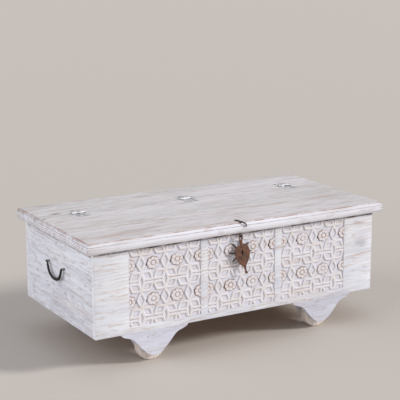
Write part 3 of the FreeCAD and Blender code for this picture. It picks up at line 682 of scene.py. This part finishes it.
def carvedMango(name):
    # Limewashed carving: creamy on the rubbed ridges, with painted shade, cooler and darker, on the sunk
    # ground, and bare brown lines at the foot of the walls, where neither brush nor sandpaper reached
    material, tree = newMaterial(name)
    place = addNode(tree, "TexCoord"), "Object"
    spot = addNode(tree, "SeparateXYZ", {"Vector": place})
    # Painted shade: the deeper the surface, the cooler and darker
    depth = ranged(tree, (spot, "Y"), yFace + carving["creamTo"] * mm, yFace + carving["groundFrom"] * mm)
    colour = paint(tree, depth, carving["cream"], carving["paintedGroundShade"])
    grain = noise(tree, mapped(tree, place, Scale=carving["stretch"]), *carving["grainNoise"])
    colour = paint(tree, ramp(tree, grain, (0.48, 0.0), (0.68, 0.35)), colour, carving["grain"])
    patch = ramp(tree, noise(tree, place, *carving["patch"]), (0.36, 0.25), (0.60, 1.0))
    # The slopes of every cut, where the wash is thin
    wall = ramp(tree, depth, (0.28, 0.0), (0.50, 0.36), (0.75, 0.36), (0.97, 0.0))
    colour = paint(tree, reckon(tree, "MULTIPLY", wall, patch), colour, carving["wall"])
    # The stained lines, and the rosettes' dots of painted shade, marked on the mesh
    stain = addNode(tree, "Attribute", {"attribute_name": "stain"}), "Fac"
    stainShade = ramp(tree, stain, (0.35, carving["tan"]), (0.78, carving["brown"]), (1.0, carving["black"]))
    stainPart = reckon(tree, "MULTIPLY", ramp(tree, stain, (0.04, 0.0), (0.55, 0.92)), patch)
    shadedPitDots = ranged(tree, stain, 0.86, 0.96, end=0.82)
    colour = paint(tree, reckon(tree, "MAXIMUM", stainPart, shadedPitDots), colour, stainShade)
    # Painted shade: an ambient-occlusion mask darkens tight pits
    pitShadeMask = shadedCorners(tree, carving["corner"], 8, (0.10, 0.9), (0.32, 0.0))
    colour = paint(tree, pitShadeMask, colour, carving["pit"])
    # Rubbed arrises show warm wood here and there
    arris = arrises(tree, carving["arris"], 4, (0.90, 0.9), (0.99, 0.0))
    arrisPart = reckon(tree, "MULTIPLY", arris, patch)
    arrisTop = reckon(tree, "MULTIPLY", arrisPart, reckon(tree, "SUBTRACT", 1.0, depth))
    colour = paint(tree, arrisTop, colour, carving["rubbed"])
    # The painted shadow behind the hasp's ring
    colour = stainedAndShadowed(tree, place, colour, "carved")
    # The painted shadow under the lid's nose crosses the carving too
    colour = lined(tree, place, colour, limewash["looks"]["front"]["lines"])
    bump = bumped(tree, grain, 0.35, carving["relief"])
    shaded(tree, {"IOR": 1.5, "Roughness": 0.82, "Specular IOR Level": 0.35, "Base Color": colour,
                  "Normal": bump})
    return material


washCarved = carvedMango("limewashed_mango_carved")


def newMarks(piece):
    return piece.data.attributes.new("stain", "FLOAT", "POINT").data


def stainAt(piece, levels):
    # levels: depth under the face and the stain there; anything else is clean
    for vertex, mark in zip(piece.data.vertices, newMarks(piece)):
        under = (vertex.co.y - yFace) / mm
        near = [share for level, share in levels if abs(under - level) < carving["stainReach"]]
        mark.value = near[0] if near else 0.0


def grown(outline, amount):
    # The outline moved outwards, its corners going anticlockwise
    result = []
    for k, corner in enumerate(outline):
        before = (corner - outline[k - 1]).normalized()
        after = (outline[(k + 1) % len(outline)] - corner).normalized()
        out = Vector((before.y, -before.x)) + Vector((after.y, -after.x))
        result.append(corner + out * amount * 2 / out.length_squared)
    return result


def strayed(value):
    return value + random.uniform(-1, 1) * carving["jitter"]


def sunkFrame(outline):
    # A ridge round a sunk floor: outline, extruded, inset for its skirt, up, across, down and once more for
    # the stained line round the floor, then its two top arrises rounded
    jig = [Vector((strayed(x), strayed(z))) for x, z in outline]
    rim = grown(jig, carving["reach"] + carving["draft"] + carving["skirt"])
    lift = random.uniform(*carving["lift"])
    low = random.uniform(*carving["seat"])  # different for each, so that no two skirts share a plane
    rise = carving["ground"] - carving["ridgeTop"] - low + lift
    sink = carving["floorDepth"] - carving["ridgeTop"] + lift
    top = carving["ground"] - low - rise - carving["skirtRise"]
    bpy.ops.mesh.primitive_circle_add(vertices=len(outline), radius=1, fill_type="NGON",
                                      rotation=(straight, 0, 0))
    piece = settle(bpy.context.object)
    yBack = yFace + (carving["ground"] + carving["sunk"]) * mm
    for vertex, point in zip(piece.data.vertices, rim):
        vertex.co = (point.x * mm, yBack, point.y * mm)
    edit(piece)
    push(-(carving["sunk"] + low) * mm)
    insets = ((carving["skirt"], carving["skirtRise"]), (carving["draft"], rise), (carving["ridge"], 0),
              (carving["slope"], -sink), (carving["skirt"], -carving["skirtFall"]))
    for width, up in insets:
        bpy.ops.mesh.inset(thickness=width * mm, depth=up * mm)
    yTop = yFace + top * mm
    choose(piece, "edges", lambda e: all(abs(v.co.y - yTop) < hair for v in e.verts)
           and e.calc_face_angle(0) > carving["sharp"])
    bpy.ops.mesh.bevel(offset=carving["ridgeRound"] * mm, segments=3)
    selectAll()
    bpy.ops.mesh.subdivide(number_cuts=1)
    done(piece)
    share = random.uniform(*carving["stainShare"])
    stainAt(piece, [(carving["ground"] - low - carving["skirtRise"], share * carving["outerStain"]),
                    (top + sink, share)])
    # Worn and thickly painted, so nothing stays sharp
    edit(piece)
    bpy.ops.mesh.vertices_smooth(factor=carving["soften"], repeat=1)
    return done(piece, turnOut=False)


def rosetteFlower():
    # Rings drawn in from the outer line to the dimple, then notched between the petals
    rings = carving["rosette"]
    yGround = yFace + carving["ground"] * mm
    bpy.ops.mesh.primitive_circle_add(vertices=carving["rosetteSteps"], radius=rings[0][0] * mm,
                                      rotation=(straight, 0, 0), location=(0, yGround - rings[0][1] * mm, 0))
    piece = settle(bpy.context.object)
    edit(piece, "EDGE")
    bpy.ops.mesh.edge_face_add()
    for (radius, height, _), (nextRadius, nextHeight, _) in zip(rings, rings[1:]):
        push((height - nextHeight) * mm)
        share = nextRadius / radius
        bpy.ops.transform.resize(value=(share, 1, share), center_override=(0, 0, 0))
    done(piece)
    for vertex, mark in zip(piece.data.vertices, newMarks(piece)):
        radius = math.hypot(vertex.co.x, vertex.co.z) / mm
        height = (yGround - vertex.co.y) / mm
        mark.value = min(rings, key=lambda ring: abs(ring[0] - radius) + abs(ring[1] - height))[2]
        if radius > carving["petalFrom"]:
            turn = math.atan2(vertex.co.z, vertex.co.x)
            notch = (1 - abs(math.cos(carving["petals"] / 2 * turn))) ** carving["petalSharp"]
            spread = (radius - carving["petalFrom"]) / (rings[2][0] - carving["petalFrom"])
            share = 1 - carving["petalNotch"] * notch * min(spread, 1)
            vertex.co.x *= share
            vertex.co.z *= share
            if height > carving["petalTop"]:
                vertex.co.y += carving["petalDepth"] * notch * mm
                mark.value = max(mark.value, carving["petalStain"] * notch)
            if radius > carving["rimFrom"] and mark.value > 0.1:
                # Painted shade: the cut pits at the left and right are marked darkest
                inDot = abs(math.sin(turn)) < carving["dot"]
                mark.value = 1.0 if inDot else mark.value + carving["rimStain"] * notch
        vertex.co.x *= carving["oval"][0]
        vertex.co.z *= carving["oval"][1]
    return piece


def copyTo(piece, x, z, turn=0):
    twin = ownCopy(piece)
    twin.location = (x * mm, 0, z * mm)
    twin.rotation_euler = (0, turn, 0)
    return twin


def carvedField():
    # One field, its left edge at x 0 and the board's foot at z 0
    pieces = []
    reach, wide, inner, drop = carving["arms"]
    highStar, lowStar = carving["starRows"]
    upper, centre, lower = carving["lowRows"]
    small, big = carving["smallHalf"], carving["bigHalf"]
    for column in range(carving["columns"]):
        x = carving["pitch"] * (column + 0.5)
        for side in (-1, 1):
            for z, way in [(z, -1) for z in carving["starRows"]] + [(z, 1) for z in carving["lowRows"]]:
                outline = [(x, z), (x + side * reach, z), (x + side * wide, z + way * drop),
                           (x + side * inner, z + way * drop)]
                if side * way < 0:
                    outline.reverse()
                pieces.append(sunkFrame(outline))
        for low, high, half in ((centre, highStar, small), (lower, lowStar, small),
                                (highStar, upper, big), (lowStar, centre, big)):
            middle = (low + high) / 2
            pieces.append(sunkFrame([(x, low), (x + half, middle), (x, high), (x - half, middle)]))
    flower = rosetteFlower()
    most = carving["rosetteTurn"]
    for column in range(carving["columns"] + 1):
        for z in carving["rosetteRows"]:
            pieces.append(copyTo(flower, carving["pitch"] * column, z, random.uniform(-most, most)))
    bpy.data.objects.remove(flower)
    field = settle(joined(pieces))
    edit(field)
    left, right = carving["trim"], carving["fieldWidth"] - carving["trim"]
    low = carving["foot"] + carving["trim"]
    high = (boardHigh.z - zFoot) / mm - carving["head"] - carving["trim"]
    for spot, away in (((left, 0, 0), (-1, 0, 0)), ((right, 0, 0), (1, 0, 0)),
                       ((0, 0, low), (0, 0, -1)), ((0, 0, high), (0, 0, 1))):
        cut(Vector(spot) * mm, away, use_fill=True, clear_outer=True)
    return done(field, turnOut=False)


def wander(piece, amount, size):
    # Hand cutting never runs quite true: the whole surface strays a little, sideways only
    texture = clouds("hand_cut", size)
    for way in ("X", "Z"):
        modify(piece, "DISPLACE", texture=texture, texture_coords="LOCAL", direction=way,
               strength=amount * mm)


def frontBoard():
    centre = (boardLow + boardHigh) / 2
    bpy.ops.object.select_all(action="DESELECT")
    bpy.ops.mesh.primitive_cube_add(size=1, location=centre, scale=boardHigh - boardLow)
    board = settle(bpy.context.object)
    width, count = carving["fieldWidth"], carving["fields"]
    step = width + carving["stile"]
    fields = [centre.x / mm + (k - (count - 1) / 2) * step - width / 2 for k in range(count)]
    edit(board)
    for x in fields:
        for side in (x, x + width):
            cut((side * mm, 0, 0), (1, 0, 0))
    top = boardHigh.z - carving["head"] * mm
    foot = boardLow.z + carving["foot"] * mm
    for z in (foot, top):
        cut((0, 0, z), (0, 0, 1))
    for x in fields:
        middle = x * mm + width * mm / 2
        choose(board, "faces", lambda f: f.normal.y < -0.9 and foot < f.calc_center_median().z < top
               and abs(f.calc_center_median().x - middle) < 10 * mm)
        push(carving["ground"] * mm)
    choose(board, "edges", lambda e: e.calc_face_angle(0) > 1
           and all(v.co.y < yFace + 0.1 * mm for v in e.verts))
    bpy.ops.mesh.bevel(offset=carving["boardArris"] * mm, segments=2)
    done(board)
    newMarks(board)
    finishPiece(board, "carved_front_board", "case", "whitewashed_wood", washFront, "front_board")
    # The sunk grounds take the carving's finish
    board.data.materials.append(washCarved)
    for face in board.data.polygons:
        if 1.0 * mm < face.center.y - yFace < (carving["ground"] + 0.5) * mm:
            face.material_index = 1
    first = carvedField()
    first.data.materials.append(washCarved)
    carved = [copyTo(first, x, zFoot / mm) for x in fields]
    bpy.data.objects.remove(first)
    for field in carved:
        wander(settle(field), carving["wander"], carving["wanderSize"])
    joined([board, *carved])
    print("the carved front has", len(board.data.polygons), "faces")
    return smooth(board, 40)


frontBoard()


# Ironwork that is forged by hand, in mm

bail = {
    "x": 555.5, "y": 20.0, "z": 290.0,  # middle of its axis
    # along the axis, down, and half the bar's thickness: from the trunnion in the eye to the lowest point
    "half": [(-64.5, 0, 0.95), (-59.8, 0, 0.95), (-55.4, -1.8, 3.4), (-52.8, -11, 5.0), (-44.4, -28, 5.3),
             (-25.5, -41.8, 5.4)],
    "lowest": (0, -46.2, 5.4),
    "flat": 0.70,  # the bar is flatter across than along its bend
    "eye": 61.9,  # from the middle to each eye
    # the eye's wire: out, up and half its thickness
    "eyeLoop": [(-13.5, 1.5, 1.3), (-8, 1.6, 1.4), (-2.0, 2.6, 1.6), (1.8, 1.9, 1.5), (2.7, 0, 1.5),
                (1.8, -1.9, 1.5), (-2.0, -2.6, 1.6), (-8, -1.6, 1.4), (-13.5, -1.5, 1.3)],
}
pin = [  # x, y, z and half thickness: back prong, leg, eye, leg, front prong hooked over the nose
    (-18.8, -247.6, 433.4, 1.3), (-17.0, -262, 434.4, 2.2), (-15.4, -272.0, 434.4, 2.2),
    (-15, -276.2, 431, 1.6), (-15, -276.2, 415, 1.6), (-15, -276.2, 399, 1.6), (-15, -275.2, 389, 1.7),
    (-15, -278.2, 383.0, 1.7), (-15, -283.0, 383.4, 1.7), (-15, -284.8, 388, 1.7),
    (-15, -281.4, 392.6, 1.6), (-15, -278.9, 399, 1.6), (-15, -278.7, 415, 1.6),
    (-15, -278.7, 431, 1.6), (-14.4, -281.6, 434.4, 2.2), (-12.4, -286.0, 434.0, 2.2),
    (-8, -289.0, 431.4, 2.1), (-2.6, -289.5, 427.6, 1.9), (1.2, -289.6, 423.0, 1.8),
    (1.2, -289.6, 419.0, 1.6), (-2.6, -289.6, 415.6, 0.9),
]
hammered = {
    "voxel": 0.65, "soften": 4, "dent": 0.35, "dentSize": 9,  # soften is a count
    "axis": -15.0, "lean": 9.5,  # the middle of the neck's top, and how far the neck leans, in degrees
    "neckFrom": 374, "neckTo": 348, "neckHalf": 5.5, "neckWider": 1.36, "neckFade": 3,
    # The plate's shoulders: their drop, where it ends, the run to its full size, and how far over the
    # neck's foot it starts
    "shoulderDrop": 3.6, "shoulderTo": 318, "shoulderRun": 14, "shoulderAbove": 6,
}
star = {
    "tipWider": 2.3, "rootWider": 1.2,  # how much broader the forged rays are than the flat sheet's
    "disc": 13.0, "rayFrom": 13.5, "reach": 44.0,
    "shorter": 0.02,  # share, so that the broad tips stay within the sheet's outline
    "rays": 8,
}
barSteps = 8  # between two points
barRound = 3  # a higher number gives a rounder section


def bar(points):
    # A forged bar along a smooth line through the points, each with its own thickness
    bpy.ops.object.select_all(action="DESELECT")
    bpy.ops.curve.primitive_bezier_curve_add(location=(0, 0, 0))
    piece = bpy.context.object
    run = piece.data.splines[0]
    run.bezier_points.add(len(points) - len(run.bezier_points))
    for knot, (x, y, z, half) in zip(run.bezier_points, points):
        knot.co = (x * mm, y * mm, z * mm)
        knot.handle_left_type = knot.handle_right_type = "AUTO"
        knot.radius = half
    run.resolution_u = barSteps
    piece.data.bevel_depth = mm
    piece.data.bevel_resolution = barRound
    piece.data.use_fill_caps = True
    bpy.ops.object.convert(target="MESH")
    piece = bpy.context.object
    edit(piece)
    bpy.ops.mesh.remove_doubles(threshold=hair)
    return smooth(done(piece), 50)


for side, sign in (("left", -1), ("right", 1)):
    x, y, z = sign * bail["x"], bail["y"], bail["z"]
    half = [(x, y + along, z + up, r) for along, up, r in bail["half"] + [bail["lowest"]]]
    other = [(x, 2 * y - along, up, r) for _, along, up, r in reversed(half[:-1])]
    handle = bar(half + other)
    edit(handle)
    bpy.ops.transform.resize(value=(bail["flat"], 1, 1), center_override=(x * mm, 0, 0))
    finishPiece(done(handle), side + "_forged_bail", side + "_bail", "black_iron", darkIron,
                side + "_bail_handle")
    eyes = [bar([(sign * (bail["x"] + out), y + way * bail["eye"], z + up, r)
                 for out, up, r in bail["eyeLoop"]]) for way in (-1, 1)]
    slot = slotOf[side + "_handle_eyes"]
    finishPiece(joined(eyes), side + "_forged_eyes", "case", slot, finishOf[slot], side + "_handle_eyes")

slot = slotOf["hasp_split_pin"]
finishPiece(bar(pin), "forged_split_pin", "lid", slot, finishOf[slot], "hasp_split_pin")


def hammeredHasp():
    # A copy of the plate, its neck drawn wider, then remeshed, softened and dented as under a hammer
    piece = copyOfNode("hasp", turnOut=False)
    modify(piece, "REMESH", mode="VOXEL", voxel_size=hammered["voxel"] * mm)
    slope = math.tan(math.radians(hammered["lean"]))
    high, low, end = hammered["neckFrom"], hammered["neckTo"], hammered["shoulderTo"]
    for vertex in piece.data.vertices:
        x, z = vertex.co.x / mm, vertex.co.z / mm
        middle = hammered["axis"] + (high - z) * slope
        beyond = abs(x - middle) - hammered["neckHalf"]
        if low < z < high and beyond < 0:
            share = min(1, (z - low) / hammered["neckFade"], (high - z) / hammered["neckFade"])
            vertex.co.x = (middle + (x - middle) * (1 + (hammered["neckWider"] - 1) * share)) * mm
        elif z < low + hammered["shoulderAbove"]:
            # The plate's shoulders fall away from the neck in a round
            across = min(1, max(0, beyond / hammered["shoulderRun"])) ** 2
            down = min(1, max(0, (z - end) / (low - end)))
            vertex.co.z -= hammered["shoulderDrop"] * across * down * mm
    modify(piece, "SMOOTH", factor=0.5, iterations=hammered["soften"])
    modify(piece, "DISPLACE", texture=clouds("hammer", hammered["dentSize"]), texture_coords="LOCAL",
           strength=hammered["dent"] * mm)
    return smooth(piece, 60)


def forgedStar():
    # A copy of the star, its rays drawn out broader under the hammer
    piece = copyOfNode("star_plate")
    low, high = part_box("star_plate")
    middle = (low + high) / 2
    between = 4 * straight / star["rays"]
    for vertex in piece.data.vertices:
        x, z = (vertex.co.x - middle.x) / mm, (vertex.co.z - middle.z) / mm
        far = math.hypot(x, z)
        if far > star["rayFrom"]:
            ray = round(math.atan2(z, x) / between) * between
            along, aside = Vector((math.cos(ray), math.sin(ray))), Vector((-math.sin(ray), math.cos(ray)))
            spot = Vector((x, z))
            part = (far - star["disc"]) / (star["reach"] - star["disc"])
            wider = star["rootWider"] + (star["tipWider"] - star["rootWider"]) * part
            spot = along * spot.dot(along) * (1 - star["shorter"] * part) + aside * spot.dot(aside) * wider
            vertex.co.x, vertex.co.z = middle.x + spot.x * mm, middle.z + spot.y * mm
    return piece


finishPiece(forgedStar(), "forged_star_plate", "case", slotOf["star_plate"], darkIron, "star_plate")
finishPiece(hammeredHasp(), "hammered_hasp", "hasp", slotOf["hasp"], finishOf[slotOf["hasp"]], "hasp")
